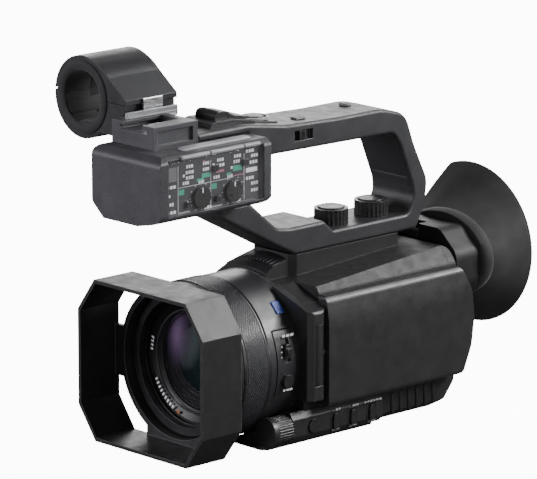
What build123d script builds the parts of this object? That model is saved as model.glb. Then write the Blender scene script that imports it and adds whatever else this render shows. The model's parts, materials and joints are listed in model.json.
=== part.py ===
from build123d import *
import os

# Hand-held camcorder with a top handle, an audio box and a microphone holder.
# Millimetres. +Z up, -Y towards the subject, +X towards the operator's left (monitor side).
# The origin is the mouth of the tripod socket, in the middle of the base foot.

# ---- driving dimensions -------------------------------------------------------------------
GAP = 0.3                       # play between parts that move past each other
FIT = 0.05                      # radial running fit of rings, shafts and pins
WALL = 1.8                      # moulded wall

AXIS_Z = 40.0                   # height of the lens axis above the base
FOOT_T = 2.2                    # thickness of the base foot
FOOT = (-30.0, 35.7, -37.2, 36.7)   # x0, x1, y0, y1 of the foot
SOCKET_R = 3.175                # tripod socket, 1/4 inch
SOCKET_DEEP = 6.0
BOSS_R = 9.0                    # boss around the socket

BODY_Y0, BODY_Y1 = -14.0, 88.0  # front and rear of the body
FRONT_COVER_Y = -4.0            # seam behind the front cover
REAR_COVER_Y = 83.0             # seam in front of the rear cover
TOP_SEAM_Z = 70.5               # seam under the top cover
DOME = ((-14.0, 40.3), (-10.0, 42.5), (-4.0, 44.5), (4.0, 46.0), (12.0, 47.0), (25.0, 48.0), (45.0, 40.3))
                                # (y, radius) of the rounded microphone housing behind the lens
SIDE_X = 38.5                   # monitor side of the body
GRIP_X = -50.9                  # hand side of the body
PEDESTAL = (15.0, 0.5, 74.0, 86.0)  # half width, y0, y1, top of the handle's seat

BARREL_R = 39.2
FOCUS_R = 39.9
SLEEVE_R = 36.0                 # outside of the filter ring, which the focus ring turns on
FILTER_R = 31.0                 # 62 mm filter thread
FILTER_Y0, FILTER_Y1 = -57.0, -51.0
FOCUS_Y0, FOCUS_Y1 = -52.3, -36.4
BLOCK_R = 33.0                  # optical block
GLASS_R = 24.5

HOOD_HALF_W, HOOD_HALF_H = 44.4, 39.8
HOOD_CUT_X, HOOD_CUT_Z = 12.0, 16.2
HOOD_Y0, HOOD_Y1 = -84.0, -59.5
HOOD_WALL = 1.8
HOOD_RING_R = 38.8

PLATE_Y = (-32.0, -19.0)        # control plate let into the lens barrel
PLATE_Z = (26.0, 58.0)
POCKET_R = 38.2

LCD_X0, LCD_X1 = 39.2, 47.0
LCD_Z0, LCD_Z1 = 18.0, 71.9
LCD_Y1 = 92.7
HINGE_X, HINGE_Y = 41.8, -10.5  # vertical hinge of the monitor
HINGE_R = 4.6
ARM_Z0, ARM_Z1 = 30.0, 59.5
LCD_FRONT = 5.15                # from the hinge axis to the monitor's front edge
SWIVEL_X, SWIVEL_Z = 43.1, 45.0

STRIP_X1 = 40.5                 # lower control strip
DIAL_X, DIAL_Z, DIAL_R = 35.5, 9.2, 6.6
DIAL_Y0, DIAL_Y1 = -33.1, -23.3

VF_X0, VF_X1 = -14.0, 38.0      # viewfinder housing
CARRIAGE = (-9.0, 25.0, 57.0, 75.0)  # x0, x1, z0, z1 of the sliding carriage
VF_Y0, VF_Y1 = 89.0, 106.0
VF_Z0, VF_Z1 = 54.0, 87.0
VF_TILT_Y, VF_TILT_Z = 91.5, 81.0
EYE_X = 10.0                    # eyepiece lens
CUP_X, CUP_Z = 4.0, 70.0        # eyecup rim
CUP_FOOT_X = 12.0               # eyecup where it fits the housing
CUP_Y0, CUP_Y1 = 105.0, 135.0
CUP_R = 40.0

ZOOM_X, ZOOM_Y, ZOOM_Z = -41.0, 50.0, 64.6   # zoom lever on the grip
BATTERY = (-19.0, 19.0, 88.3, 112.0, 8.0, 42.0)

HANDLE_HALF = 15.0              # handle
BAR_TOP = 154.0
SHOE_Y0, SHOE_Y1 = -87.0, -60.0
SHOE_FLOOR, SHOE_TOP = 157.0, 160.8
ROCKER_Y = (-41.8, -20.6)       # zoom rocker on the handle
ROCKER_AXIS = (-31.2, 155.5)
RECORD_Y = -10.7                # record button on the handle
KNOB_X, KNOB_R = 1.5, 8.4
KNOB_Y = (39.0, 66.0)
KNOB_Z0, KNOB_Z1 = 94.05, 101.5

BOX_Y0, BOX_Y1 = -98.0, -28.0   # audio box
BOX_X0, BOX_X1 = -17.0, 31.0
BOX_SEAM_X = 18.0
PANEL_X = 28.6                  # floor of the control recess
XLR_Y = (-80.0, -47.0)
XLR_Z, XLR_R = 133.0, 9.6

MIC_X, MIC_Z = -44.0, 165.8     # microphone holder
MIC_Y0, MIC_Y1 = -80.0, -48.0
MIC_R, MIC_BORE = 19.9, 13.45
MIC_HINGE = (-62.4, MIC_Z)      # hinge of the upper clamp, inside the ring's wall
LATCH_AXIS = (-12.3, 168.0)


# ---- helpers ------------------------------------------------------------------------------
def block(x0, x1, y0, y1, z0, z1):
    return Pos((x0 + x1) / 2, (y0 + y1) / 2, (z0 + z1) / 2) * Box(x1 - x0, y1 - y0, z1 - z0)


def rod_y(x, z, r, y0, y1):
    return Pos(x, (y0 + y1) / 2, z) * Rot(90, 0, 0) * Cylinder(r, y1 - y0)


def rod_x(y, z, r, x0, x1):
    return Pos((x0 + x1) / 2, y, z) * Rot(0, 90, 0) * Cylinder(r, x1 - x0)


def rod_z(x, y, r, z0, z1):
    return Pos(x, y, (z0 + z1) / 2) * Cylinder(r, z1 - z0)


def outline(points):
    """Face from (u, v) or (u, v, corner radius) points."""
    face = make_face(Polyline(*[(p[0], p[1]) for p in points], close=True))
    for p in points:
        if len(p) == 3:
            corner = face.vertices().sort_by_distance((p[0], p[1], 0))[0]
            face = fillet(corner, p[2])
    return face


def side_prism(face, x0, x1):
    """Face drawn in (y, z), carried from x0 to x1."""
    return extrude(Plane.YZ.offset(x0) * face, x1 - x0)


def front_prism(face, y0, y1):
    """Face drawn in (x, z), carried from y0 to y1."""
    return extrude(Plane.XZ.offset(-y1) * face, y1 - y0)


def top_prism(face, z0, z1):
    """Face drawn in (x, y), carried from z0 to z1."""
    return extrude(Plane.XY.offset(z0) * face, z1 - z0)


def turned(points):
    """Solid turned about the lens axis from (radius, y) points."""
    face = make_face(Polyline(*[(r, y) for r, y in points], close=True))
    return revolve(Pos(0, 0, AXIS_Z) * face, Axis((0, 0, AXIS_Z), (0, 1, 0)))


def knurled(radius, height, depth, ribs, bore=0.0):
    """Ribbed knob standing on z = 0 about the z axis."""
    body = Pos(0, 0, height / 2) * Cylinder(radius, height)
    groove_r = depth
    for i in range(ribs):
        turn = 360.0 / ribs * i
        body -= Rot(0, 0, turn) * Pos(radius + groove_r * 0.45, 0, height / 2 - 0.6) * Cylinder(groove_r, height)
    if bore:
        body -= Pos(0, 0, height / 2) * Cylinder(bore, height)
    return body


# ---- body ---------------------------------------------------------------------------------
def body_faces():
    """Cross-section of the front cover, cross-section of the rest, and the side outline."""
    low = [(-38, FOOT_T, 6), (35.7, FOOT_T), (SIDE_X, 5.2)]
    hand_side = [(-16, 79.0, 10), (GRIP_X, 51, 12), (GRIP_X, 16, 14)]
    front = outline(low + [(SIDE_X, 69.0), (20, 75.8, 6), (0, 79.0, 10)] + hand_side)
    middle = outline(low + [(SIDE_X, 72, 5), (31, 82.5, 9), (0, 82.5, 10)] + hand_side)
    side = outline([(BODY_Y0, FOOT_T), (72.6, FOOT_T), (79.7, 4.1, 6), (87.2, 13.2, 6),
                    (BODY_Y1, 30), (BODY_Y1, 80.8, 5), (2, 75.5, 20), (BODY_Y0, 75.0)])
    return front, middle, side


def body_solid(inset=0.0):
    front, middle, side = [offset(f, -inset) if inset else f for f in body_faces()]
    step = FRONT_COVER_Y + inset
    body = front_prism(front, BODY_Y0 - 1, step) + front_prism(middle, step, BODY_Y1 + 1)
    return body & side_prism(side, GRIP_X - 5, SIDE_X + 5)


def dome(inset=0.0):
    """Rounded housing of the built-in microphones, below the handle's seat."""
    half, top = PEDESTAL[0], PEDESTAL[3]
    rim = [(r - inset, y) for y, r in DOME]
    shape = turned([(0, DOME[0][0] + inset), (rim[0][0], DOME[0][0] + inset)] + rim[1:] + [(0, DOME[-1][0])])
    return shape & block(-40, half - 3 - inset, -20, 50, 60, top - inset)


def body_shell():
    half, y0, y1, top = PEDESTAL
    seat = chamfer(block(-half, half, y0, y1, 66, top).edges().filter_by(Axis.Z), 3)
    shell = body_solid() + seat + dome()
    shell -= body_solid(WALL)
    shell -= dome(WALL)
    shell -= block(-half + WALL, half - WALL, y0 + WALL, y1 - WALL, 60, top - WALL)
    shell -= rod_y(0, AXIS_Z, BLOCK_R + 0.3, BODY_Y0 - 1, FRONT_COVER_Y + 4)
    shell -= rod_z(HINGE_X, HINGE_Y, HINGE_R + 0.8, ARM_Z0 - GAP, ARM_Z1 + GAP)
    x0, x1, z0, z1 = CARRIAGE
    shell -= block(x0 - GAP, x1 + GAP, 60, 100, z0 - GAP, z1 + GAP)
    shell -= rod_y(-36, 45, 6.0 + FIT, 84, 90)
    for y in KNOB_Y:
        shell -= rod_z(KNOB_X, y, 2.0 + FIT, 80, 90)
    shell -= rod_z(ZOOM_X, ZOOM_Y, 3.0 + FIT, 48, 80)
    return shell - rod_z(0, 0, BOSS_R, -1, 12)


def base_plate():
    x0, x1, y0, y1 = FOOT
    plate = chamfer(block(x0, x1, y0, y1, 0, FOOT_T).edges().filter_by(Axis.Z), 3)
    plate = chamfer(plate.faces().sort_by(Axis.Z)[0].edges(), 0.5)
    plate += rod_z(0, 0, BOSS_R, FOOT_T, SOCKET_DEEP + 2)
    plate -= rod_z(0, 0, 5.0, -1, SOCKET_DEEP + 1)
    plate -= rod_z(0, 20, 2.2, -1, FOOT_T + 0.1)
    return plate - rod_y(0, AXIS_Z, FOCUS_R + 0.5, -60, BODY_Y0)


def tripod_bush():
    bush = rod_z(0, 0, 5.0, 0, SOCKET_DEEP + 1)
    return bush - rod_z(0, 0, SOCKET_R, -1, SOCKET_DEEP)


def body_pieces():
    shell = body_shell()
    rear = shell & block(-80, 80, REAR_COVER_Y, 120, -10, 120)
    front = shell & block(-80, 80, -30, FRONT_COVER_Y, -10, 120)
    middle = shell & block(-80, 80, FRONT_COVER_Y, REAR_COVER_Y, -10, 120)
    top = middle & block(-80, 80, -30, 100, TOP_SEAM_Z, 120)
    low = middle & block(-80, 80, -30, 100, -10, TOP_SEAM_Z)
    left = low & block(0, 80, -30, 100, -10, 120)
    right = low & block(-80, 0, -30, 100, -10, 120)
    return {"front_cover": front, "rear_cover": rear, "top_cover": top,
            "left_body_shell": left, "right_body_shell": right}


def main_board():
    board = block(-12, 30, 20, 21.6, 12, 66)
    board += block(-6, 12, 17.8, 20, 30, 50)
    board += block(16, 27, 21.6, 24, 20, 32)
    board += block(-8, 10, 21.6, 23.4, 40, 56)
    return board


# ---- lens ---------------------------------------------------------------------------------
def filter_ring():
    return turned([(FILTER_R, FILTER_Y0), (SLEEVE_R - 0.8, FILTER_Y0), (SLEEVE_R, FILTER_Y0 + 0.8),
                   (SLEEVE_R, -36.2), (BLOCK_R + 0.2, -36.2), (BLOCK_R + 0.2, FILTER_Y1),
                   (FILTER_R, FILTER_Y1)])


def name_ring():
    return turned([(GLASS_R + 0.1, -47.4), (FILTER_R - 0.2, -50.9), (BLOCK_R, -50.9),
                   (BLOCK_R, -46.4), (GLASS_R + 0.1, -45.6)])


def front_lens():
    bulge = ThreePointArc((0, -50.2), (GLASS_R * 0.55, -49.2), (GLASS_R, -46.4))
    rim = Polyline((GLASS_R, -46.4), (GLASS_R, -44.0), (0, -44.0), (0, -50.2))
    face = make_face(Curve() + [bulge, rim])
    return revolve(Pos(0, 0, AXIS_Z) * face, Axis((0, 0, AXIS_Z), (0, 1, 0)))


def lens_block():
    return turned([(0, -24), (15, -27), (GLASS_R - 0.4, -43.9), (GLASS_R + 0.1, -43.9),
                   (GLASS_R + 0.1, -45.5), (BLOCK_R, -46.3), (BLOCK_R, BODY_Y0), (29.5, BODY_Y0 + 3),
                   (29.5, 4), (22, 12), (22, 17.5), (0, 17.5)])


def focus_ring():
    return turned([(SLEEVE_R + FIT, FOCUS_Y0), (FOCUS_R - 0.5, FOCUS_Y0), (FOCUS_R, FOCUS_Y0 + 0.6),
                   (FOCUS_R, FOCUS_Y1 - 0.6), (FOCUS_R - 0.5, FOCUS_Y1), (SLEEVE_R + FIT, FOCUS_Y1)])


def plate_window(shrink=0.0):
    return block(28, 44, PLATE_Y[0] + shrink, PLATE_Y[1] - shrink, PLATE_Z[0] + shrink, PLATE_Z[1] - shrink)


def barrel_skin(r0, r1):
    return rod_y(0, AXIS_Z, r1, -40, -10) - rod_y(0, AXIS_Z, r0, -41, -9)


def lens_barrel():
    barrel = turned([(BLOCK_R + 0.2, -36.1), (BARREL_R - 0.6, -36.1), (BARREL_R, -35.5),
                     (BARREL_R, BODY_Y0), (BLOCK_R + 0.2, BODY_Y0)])
    barrel -= rod_z(HINGE_X, HINGE_Y, HINGE_R + 0.8, ARM_Z0 - GAP, ARM_Z1 + GAP)
    return barrel - (plate_window() & barrel_skin(POCKET_R, 44))


def barrel_control_plate():
    plate = plate_window(0.3) & barrel_skin(POCKET_R + 0.02, BARREL_R + 0.4)
    plate -= block(30, 44, -28.0, -23.2, 42.6, 54.4)
    return plate - rod_x(-25.6, 33.5, 3.2 + FIT, 30, 44)


def focus_switch():
    lever = block(38.35, 40.4, -27.6, -23.6, 44.6, 51.6)
    lever += block(40.4, 41.6, -27.2, -24.0, 46.6, 49.6)
    return lever


def auto_focus_button():
    return rod_x(-25.6, 33.5, 3.2, 38.75, 40.8)


def octagon(inset=0.0):
    w, h = HOOD_HALF_W - inset, HOOD_HALF_H - inset
    cx, cz = HOOD_CUT_X - inset * 0.5, HOOD_CUT_Z - inset * 0.6
    corners = [(-w, -h + cz), (-w + cx, -h), (w - cx, -h), (w, -h + cz),
               (w, h - cz), (w - cx, h), (-w + cx, h), (-w, h - cz)]
    return outline([(x, z + AXIS_Z) for x, z in corners])


def lens_hood():
    hood = front_prism(octagon(), HOOD_Y0, HOOD_Y1) - front_prism(octagon(HOOD_WALL), HOOD_Y0, HOOD_Y1)
    floor_y = HOOD_Y1 - 2.5
    web = block(-HOOD_HALF_W, HOOD_HALF_W, floor_y, HOOD_Y1, AXIS_Z - 12.5, AXIS_Z + 12.5)
    web += block(-20, 20, floor_y, HOOD_Y1, AXIS_Z - HOOD_HALF_H, AXIS_Z + HOOD_HALF_H)
    hood += web & front_prism(octagon(0.4), floor_y, HOOD_Y1)
    hood += rod_y(0, AXIS_Z, HOOD_RING_R, floor_y, FOCUS_Y0 - 0.3)
    return hood - rod_y(0, AXIS_Z, SLEEVE_R + FIT, floor_y - 1, FOCUS_Y0 + 1)


# ---- monitor ------------------------------------------------------------------------------
def lcd_hinge_cover():
    """Post beside the lens that carries the monitor's hinge, with a thin front over the barrel."""
    r = HINGE_R + 0.25
    x1, y0, z0 = HINGE_X + r, -17.4, 22.6
    section = outline([(20, z0), (x1, z0), (x1, 66.0, 2), (20, 75.8)])
    post = front_prism(section, y0, HINGE_Y + r) & block(SIDE_X, x1, y0, HINGE_Y + r, 0, 100)
    post -= block(HINGE_X, 60, HINGE_Y, 0, 0, 100) - rod_z(HINGE_X, HINGE_Y, r, 0, 100)
    post += front_prism(section, y0, BODY_Y0)
    post -= rod_y(0, AXIS_Z, BARREL_R, -40, BODY_Y0)
    post -= Pos(x1, y0, 50) * Rot(0, 0, 45) * Box(3.4, 3.4, 120)
    post -= rod_z(HINGE_X, HINGE_Y, HINGE_R + 0.8, ARM_Z0 - GAP, ARM_Z1 + GAP)
    post -= block(HINGE_X, 60, HINGE_Y - 3.6, -4, ARM_Z0 - GAP, ARM_Z1 + GAP)
    return post - rod_z(HINGE_X, HINGE_Y, 1.5 + FIT, ARM_Z0 - 3, ARM_Z1 + 3)


def lcd_hinge_arm():
    arm = rod_z(HINGE_X, HINGE_Y, HINGE_R, ARM_Z0, ARM_Z1)
    arm += block(HINGE_X - 2.2, HINGE_X + 2.6, HINGE_Y, HINGE_Y + LCD_FRONT - 0.4, ARM_Z0, ARM_Z1)
    arm += rod_z(HINGE_X, HINGE_Y, 1.5, ARM_Z0 - 2.5, ARM_Z1 + 2.5)
    return arm + rod_y(SWIVEL_X, SWIVEL_Z, 2.0, HINGE_Y + 2, HINGE_Y + LCD_FRONT + 8)


def lcd_outer():
    y0 = HINGE_Y + LCD_FRONT
    side = outline([(y0, LCD_Z0, 1.5), (y0, LCD_Z1, 1.5), (85.5, LCD_Z1, 4), (91, 60, 20),
                    (LCD_Y1, 46, 16), (91, 32, 20), (85, LCD_Z0, 4)])
    end = outline([(LCD_X0, LCD_Z0), (LCD_X1, LCD_Z0, 2.5), (LCD_X1, 60, 60), (LCD_X1 - 2.0, LCD_Z1, 4),
                   (LCD_X0, LCD_Z1)])
    return side_prism(side, LCD_X0, LCD_X1) & front_prism(end, y0 - 1, LCD_Y1 + 1)


def lcd_panel_shell():
    shell = lcd_outer()
    shell -= block(LCD_X0, LCD_X0 + 1.4, 4, 84, 23, 67.5)
    shell -= block(LCD_X0 + 1.4, LCD_X1 - 1.6, 6, 82, 25, 65)
    return shell - rod_y(SWIVEL_X, SWIVEL_Z, 2.05, -10, HINGE_Y + LCD_FRONT + 8.2)


def lcd_screen():
    return block(LCD_X0 + 0.1, LCD_X0 + 1.4, 4.1, 83.9, 23.1, 67.4)


# ---- lower control strip ------------------------------------------------------------------
def control_strip():
    face = outline([(24, FOOT_T), (STRIP_X1 - 2.5, FOOT_T), (STRIP_X1, 5.0), (STRIP_X1, 13.5),
                    (SIDE_X, 17.0), (24, 17.0)])
    strip = front_prism(face, -23.0, FOOT[3])
    strip -= body_solid()
    strip += block(20, 28.2, -36.0, -23.0, FOOT_T, 8)
    strip += rod_y(DIAL_X, DIAL_Z, 7.0, -36.0, -33.4)
    strip += block(24, DIAL_X, -36.0, -33.4, FOOT_T, 7)
    strip += rod_y(DIAL_X, DIAL_Z, 1.5, -35, -20)
    strip -= rod_y(0, AXIS_Z, BARREL_R + 0.5, -36.3, BODY_Y0)
    strip -= rod_x(-9.3, 8.6, 3.4 + FIT, 36.5, 50)
    for y in (5.0, 16.5, 29.0):
        strip -= block(SIDE_X + 0.1, 50, y - 1.6 - FIT, y + 1.6 + FIT, 4.6 - FIT, 12.2 + FIT)
    return strip


def manual_dial():
    dial = Pos(DIAL_X, DIAL_Y1, DIAL_Z) * Rot(90, 0, 0) * knurled(DIAL_R, DIAL_Y1 - DIAL_Y0, 0.5, 30, 1.5 + FIT)
    return dial


def manual_button():
    return rod_x(-9.3, 8.6, 3.4, 39.2, 41.4)


def side_button(y):
    button = block(SIDE_X + 0.9, 41.5, y - 1.6, y + 1.6, 4.6, 12.2)
    return fillet(button.edges().filter_by(Axis.X), 1.55)


# ---- viewfinder ---------------------------------------------------------------------------
def viewfinder_carriage():
    x0, x1, z0, z1 = CARRIAGE
    slide = block(x0, x1, 62, 87.8, z0, z1)
    slide += block(-3, 11, 86, VF_TILT_Y, z1 - 6, z1 - 1)
    slide += block(-3, 11, BODY_Y1 + GAP, VF_TILT_Y, z1 - 6, VF_TILT_Z)
    slide += rod_x(VF_TILT_Y, VF_TILT_Z, 2.8, -3, 11)
    return slide - rod_x(VF_TILT_Y, VF_TILT_Z, 1.2 + FIT, -5, 13)


def viewfinder_housing():
    face = outline([(VF_X0, VF_Z0, 9), (VF_X0, VF_Z1, 9), (VF_X1 - 12, VF_Z1, 8), (VF_X1, 76, 8),
                    (VF_X1, VF_Z0, 9)])
    house = front_prism(face, VF_Y0, VF_Y1)
    house -= block(-3 - GAP, 11 + GAP, VF_Y0 - 1, 95, CARRIAGE[3] - 6.5, VF_Z1 + 1)
    house -= rod_y(EYE_X, CUP_Z, 12.2, 98, VF_Y1 + 1)
    return house + rod_x(VF_TILT_Y, VF_TILT_Z, 1.2, -5, 13)


def eyepiece_lens():
    return rod_y(EYE_X, CUP_Z, 12.0, 98.2, 103.0)


def cup_form(grow, y0, y1):
    front = Plane.XZ.offset(-y0) * Pos(CUP_FOOT_X, CUP_Z) * Ellipse(27 + grow, 18 + grow)
    rear = Plane.XZ.offset(-y1) * Pos(CUP_X, CUP_Z) * Ellipse(CUP_R + grow, CUP_R + grow)
    return loft([front, rear])


def eyecup():
    cup = cup_form(0.0, VF_Y1, CUP_Y1) - cup_form(-2.6, VF_Y1, CUP_Y1)
    return cup


# ---- power, card and grip -----------------------------------------------------------------
def battery():
    x0, x1, y0, y1, z0, z1 = BATTERY
    pack = fillet(block(x0, x1, y0, y1, z0, z1).edges().filter_by(Axis.Z), 3)
    return chamfer(pack.faces().sort_by(Axis.Y)[-1].edges(), 0.8)


def battery_release():
    tab = block(23, 32, 88.1, 90.2, 20, 26)
    for x in (25.5, 27.5, 29.5):
        tab -= block(x - 0.4, x + 0.4, 89.6, 91, 19, 27)
    return tab


def record_button():
    return chamfer(rod_y(-36, 45, 6.0, 85.4, 90.6).faces().sort_by(Axis.Y)[-1].edges(), 0.8)


def grip_zoom_lever():
    stem = rod_z(ZOOM_X, ZOOM_Y, 3.0, 53.0, ZOOM_Z)
    cap = block(ZOOM_X - 4.5, ZOOM_X + 4.5, ZOOM_Y - 9, ZOOM_Y + 9, ZOOM_Z, ZOOM_Z + 3)
    cap = fillet(cap.edges().filter_by(Axis.Z), 4)
    return stem + cap


def card_door():
    door = block(-47.0, -25.0, 88.1, 89.5, 10, 34)
    return door + rod_z(-25.0, 89.3, 1.2, 10, 34)


def hand_strap():
    path = [(-52.0, -9.0), (-58.0, 2.0), (-60.0, 20.0), (-60.0, 44.0), (-58.0, 60.0), (-52.0, 72.0)]
    line = Polyline(*path)
    band = top_prism(make_face(offset(line, 1.8, side=Side.BOTH)), 20, 54)
    return band - body_solid() - block(-54.1, 0, -30, -6.5, 0, 80) - block(-54.1, 0, 69.5, 90, 0, 80)


def strap_anchors():
    anchors = [block(-54, -48, -12, -6.6, 26, 48), block(-54, -48, 69.6, 75, 26, 48)]
    return [a - body_solid() for a in anchors]


# ---- handle -------------------------------------------------------------------------------
def handle_outline():
    return [(SHOE_Y1, 150), (SHOE_Y1, BAR_TOP), (-28, BAR_TOP, 20), (-3, 150.2, 20), (32, 149.0),
            (60, 149.0, 30), (76.5, 144.8, 12), (82.9, 127.9, 30), (92.0, 109.5, 12), (90.4, 99.0, 12),
            (84.5, PEDESTAL[3], 3), (2.5, PEDESTAL[3], 4), (-45, 111), (-45, 116), (BOX_Y1, 116),
            (-25, 114.4, 3), (-9, 100.6, 10), (0, 99.4, 4), (22, 99.4, 2), (28, 94.0, 2),
            (78.2, 94.0, 4), (82.4, 101.5, 8), (81.5, 108, 12), (73.0, 129, 6), (68.5, 136.0, 6),
            (-12, 137.0, 10), (BOX_Y1, 137.5), (BOX_Y1, 150)]


def handle_frame():
    face = outline(handle_outline())
    frame = side_prism(face, -HANDLE_HALF, HANDLE_HALF)
    frame = fillet(frame.edges().filter_by(lambda e: abs(abs(e.center().X) - HANDLE_HALF) < 0.01), 1.6)
    hollow = make_face(Polyline((-10, 140), (0, 146), (60, 145), (72, 140), (79, 127), (88, 108),
                                (86, 101), (80, 112), (74, 128), (70, 139.5), close=True))
    frame -= side_prism(hollow, -12, 12)
    for y in KNOB_Y:
        frame -= rod_z(KNOB_X, y, 2.0 + FIT, 80, 100)
    frame -= block(-8.3, 8.3, RECORD_Y - 8.0, RECORD_Y + 8.0, 146.4, 155)
    frame -= block(HANDLE_HALF - 2.4, 20, 2.0, 14.0, 141.6, 146.4)
    return frame


def handle_control_panel():
    face = outline([(-48, BAR_TOP), (-46.5, 156.2), (-43.5, 156.8), (-34, 156.6), (-22, 154.9),
                    (-18.8, 153.9), (-18.8, 151.5), (-28, 152.5), (-48, 152.5)])
    panel = side_prism(face, -10, 10) - side_prism(outline(handle_outline()), -12, 12)
    panel -= block(-7.3, 7.3, ROCKER_Y[0] - 0.5, ROCKER_Y[1] + 0.5, 154.3, 160)
    return panel - rod_x(*ROCKER_AXIS, 0.6 + FIT, -9, 9)


def handle_zoom_rocker():
    y0, y1 = ROCKER_Y
    face = outline([(y0, 155.2), (y0, 160.6, 2.5), (-36, 160.4, 3), (-29, 157.4, 6), (y1, 156.0),
                    (y1, 155.2), (ROCKER_AXIS[0], 154.45)])
    return side_prism(face, -7.0, 7.0) + rod_x(*ROCKER_AXIS, 0.6, -8.8, 8.8)


def handle_record_button():
    return rod_z(0, RECORD_Y, 5.0, 147.6, 153.2)


def handle_button_bezel():
    y0, y1 = RECORD_Y - 7.8, RECORD_Y + 7.8
    bezel = side_prism(outline([(y0, 146.5), (y0, 153.2, 0.5), (y1, 151.2, 0.5), (y1, 146.5)]), -8.2, 8.2)
    return bezel - rod_z(0, RECORD_Y, 5.0 + FIT, 146, 155)


def handle_hold_switch():
    slot_y0, slot_y1 = 2.0, 14.0
    knob = block(HANDLE_HALF - 2.3, HANDLE_HALF + 0.4, slot_y0 + 3, slot_y1 - 5, 141.9, 146.1)
    for y in (6.2, 7.4):
        knob -= block(HANDLE_HALF - 0.4, HANDLE_HALF + 1, y, y + 0.5, 141, 147)
    return knob


def thumb_knob(y):
    knob = Pos(KNOB_X, y, KNOB_Z0) * knurled(KNOB_R, KNOB_Z1 - KNOB_Z0, 0.9, 24)
    return knob + rod_z(KNOB_X, y, 2.0, 83.0, KNOB_Z0)


def accessory_shoe():
    shoe = block(-HANDLE_HALF, HANDLE_HALF, SHOE_Y0, SHOE_Y1, 150, SHOE_TOP)
    shoe -= block(-9.4, 9.4, SHOE_Y0 - 1, SHOE_Y1 - 4, SHOE_FLOOR, SHOE_FLOOR + 2.2)
    shoe -= block(-6.3, 6.3, SHOE_Y0 - 1, SHOE_Y1 - 4, SHOE_FLOOR, SHOE_TOP + 1)
    return shoe - block(HANDLE_HALF - 1.5, 20, SHOE_Y0 + 2, SHOE_Y1 - 3, 152.0, 158.6)


# ---- audio box ----------------------------------------------------------------------------
def box_face():
    return outline([(BOX_X0, 123, 4), (BOX_X0, 150, 3), (27.5, 150, 2), (BOX_X1, 147.6, 2), (BOX_X1, 120.5, 3),
                    (26, 118.4, 3), (15, 116), (-9, 116)])


def audio_solid(grow=0.0):
    nose = outline([(BOX_Y0, 112), (BOX_Y0, 147, 4), (BOX_Y0 + 4, 150.0), (BOX_Y1, 150), (BOX_Y1, 122),
                    (BOX_Y1 - 6, 116), (BOX_Y1 - 10, 112)])
    return front_prism(box_face(), BOX_Y0, BOX_Y1) & side_prism(nose, BOX_X0 - 1, BOX_X1 + 1)


def audio_box():
    box = audio_solid() & block(-40, BOX_SEAM_X, -120, 0, 100, 160)
    box -= block(BOX_X0 + 2, BOX_SEAM_X, BOX_Y0 + 2.5, BOX_Y1 - 2.5, 118.5, 147.8)
    for y in XLR_Y:
        box -= rod_x(y, XLR_Z, 11.6, BOX_X0 - 1, BOX_X0 + 4)
    return box


def audio_control_panel():
    panel = audio_solid() & block(BOX_SEAM_X, 60, -120, 0, 100, 160)
    panel -= block(PANEL_X, 40, BOX_Y0 + 5.5, BOX_Y1 - 4.5, 121.8, 147.2)
    panel -= block(BOX_SEAM_X, PANEL_X - 4, BOX_Y0 + 3, BOX_Y1 - 3, 120.5, 147)
    panel -= rod_y(30.6, 147.2, 1.2, BOX_Y0 + 5.5, BOX_Y1 - 4.5)
    for y in (-70.6, -50.4):
        panel -= rod_x(y, 128.0, 1.5 + FIT, 20, 40)
    return panel


def audio_cover():
    cover = block(30.4, 31.2, BOX_Y0 + 5.9, BOX_Y1 - 4.9, 122.2, 146.8)
    cover += rod_y(30.6, 147.2, 1.0, BOX_Y0 + 5.9, BOX_Y1 - 4.9)
    return cover


def level_dial(y):
    dial = Pos(PANEL_X + 0.1, y, 128.0) * Rot(0, 90, 0) * knurled(5.2, 1.5, 0.35, 24)
    return dial + rod_x(y, 128.0, 1.5, 25, PANEL_X + 0.1)


def input_switch(y):
    return block(PANEL_X + 0.05, PANEL_X + 1.4, y - 1.6, y + 1.6, 139.2, 142.0)


def level_switch(y):
    return block(PANEL_X + 0.05, PANEL_X + 1.4, y - 1.3, y + 1.3, 124.6, 127.2)


def xlr_sockets():
    cups = []
    for y in XLR_Y:
        cup = rod_x(y, XLR_Z, 11.5, BOX_X0 + 0.2, -2) - rod_x(y, XLR_Z, XLR_R, BOX_X0 - 1, -4)
        cups.append(cup)
    return cups


# ---- microphone holder --------------------------------------------------------------------
def mic_ring(z0, z1):
    ring = rod_y(MIC_X, MIC_Z, MIC_R, MIC_Y0, MIC_Y1)
    return ring & block(-80, -20, MIC_Y0, MIC_Y1, z0, z1)


def mic_holder_base():
    seam = MIC_Z - 0.15
    base = mic_ring(140, seam)
    base += block(-31, -HANDLE_HALF, MIC_Y0, MIC_Y1, 150.3, seam)
    base -= rod_y(MIC_X, MIC_Z, MIC_BORE, MIC_Y0 - 1, MIC_Y1 + 1)
    base -= rod_y(*MIC_HINGE, 2.3, MIC_Y0 + 8 - GAP, MIC_Y1 - 8 + GAP)
    base += rod_y(*MIC_HINGE, 1.45, MIC_Y0, MIC_Y0 + 8) + rod_y(*MIC_HINGE, 1.45, MIC_Y1 - 8, MIC_Y1)
    return base + rod_y(*MIC_HINGE, 0.7, MIC_Y0, MIC_Y1)


def clamp_lobe(seam):
    """Rounded shoulder and flat slope from the ring down to the latch."""
    shoulder = ThreePointArc((-40, 185.2), (-32.2, 182.4), (-25.2, 177.5))
    rest = Polyline((-25.2, 177.5), (-13.0, 168.4), (-13.0, seam), (-40, seam), (-40, 185.2))
    return make_face(Curve() + [shoulder, rest])


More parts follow.
